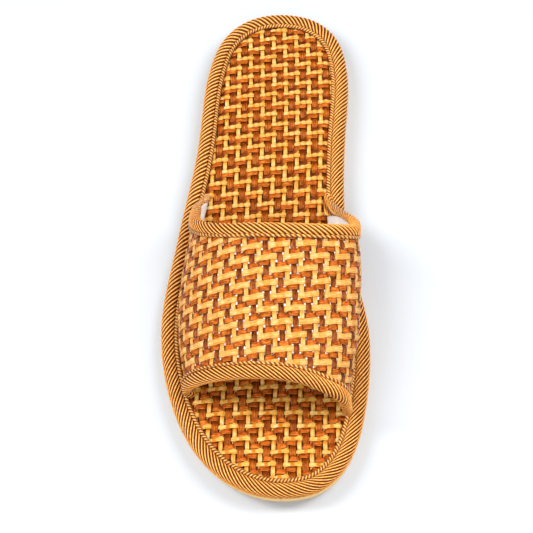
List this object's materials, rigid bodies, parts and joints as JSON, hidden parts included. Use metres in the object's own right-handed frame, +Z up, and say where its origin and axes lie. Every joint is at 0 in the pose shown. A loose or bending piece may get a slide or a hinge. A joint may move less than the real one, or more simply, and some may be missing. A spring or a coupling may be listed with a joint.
{
  "type": "woven slipper",
  "caption": "Open-toe, open-back house slipper for the right foot: twill-woven straw vamp and footbed, striped bias-tape edges and a flat foam-rubber sole",
  "frame": {"origin": "on the floor under the middle of the slipper's bounding box", "axes": "+X to the inner (medial) side of the foot, +Y to the heel, +Z up; the toe points along -Y"},
  "size_m": [0.1018, 0.269, 0.0592],
  "materials": {
    "foam_rubber": "matte",
    "woven_footbed": "matte",
    "striped_tape": "satin",
    "woven_vamp": "satin"
  },
  "bodies": {
    "root": {"outsole": "foam_rubber", "insole": "woven_footbed", "sole_binding": "striped_tape", "upper": "woven_vamp", "throat_binding": "striped_tape", "toe_binding": "striped_tape"}
  },
  "joints": []
}
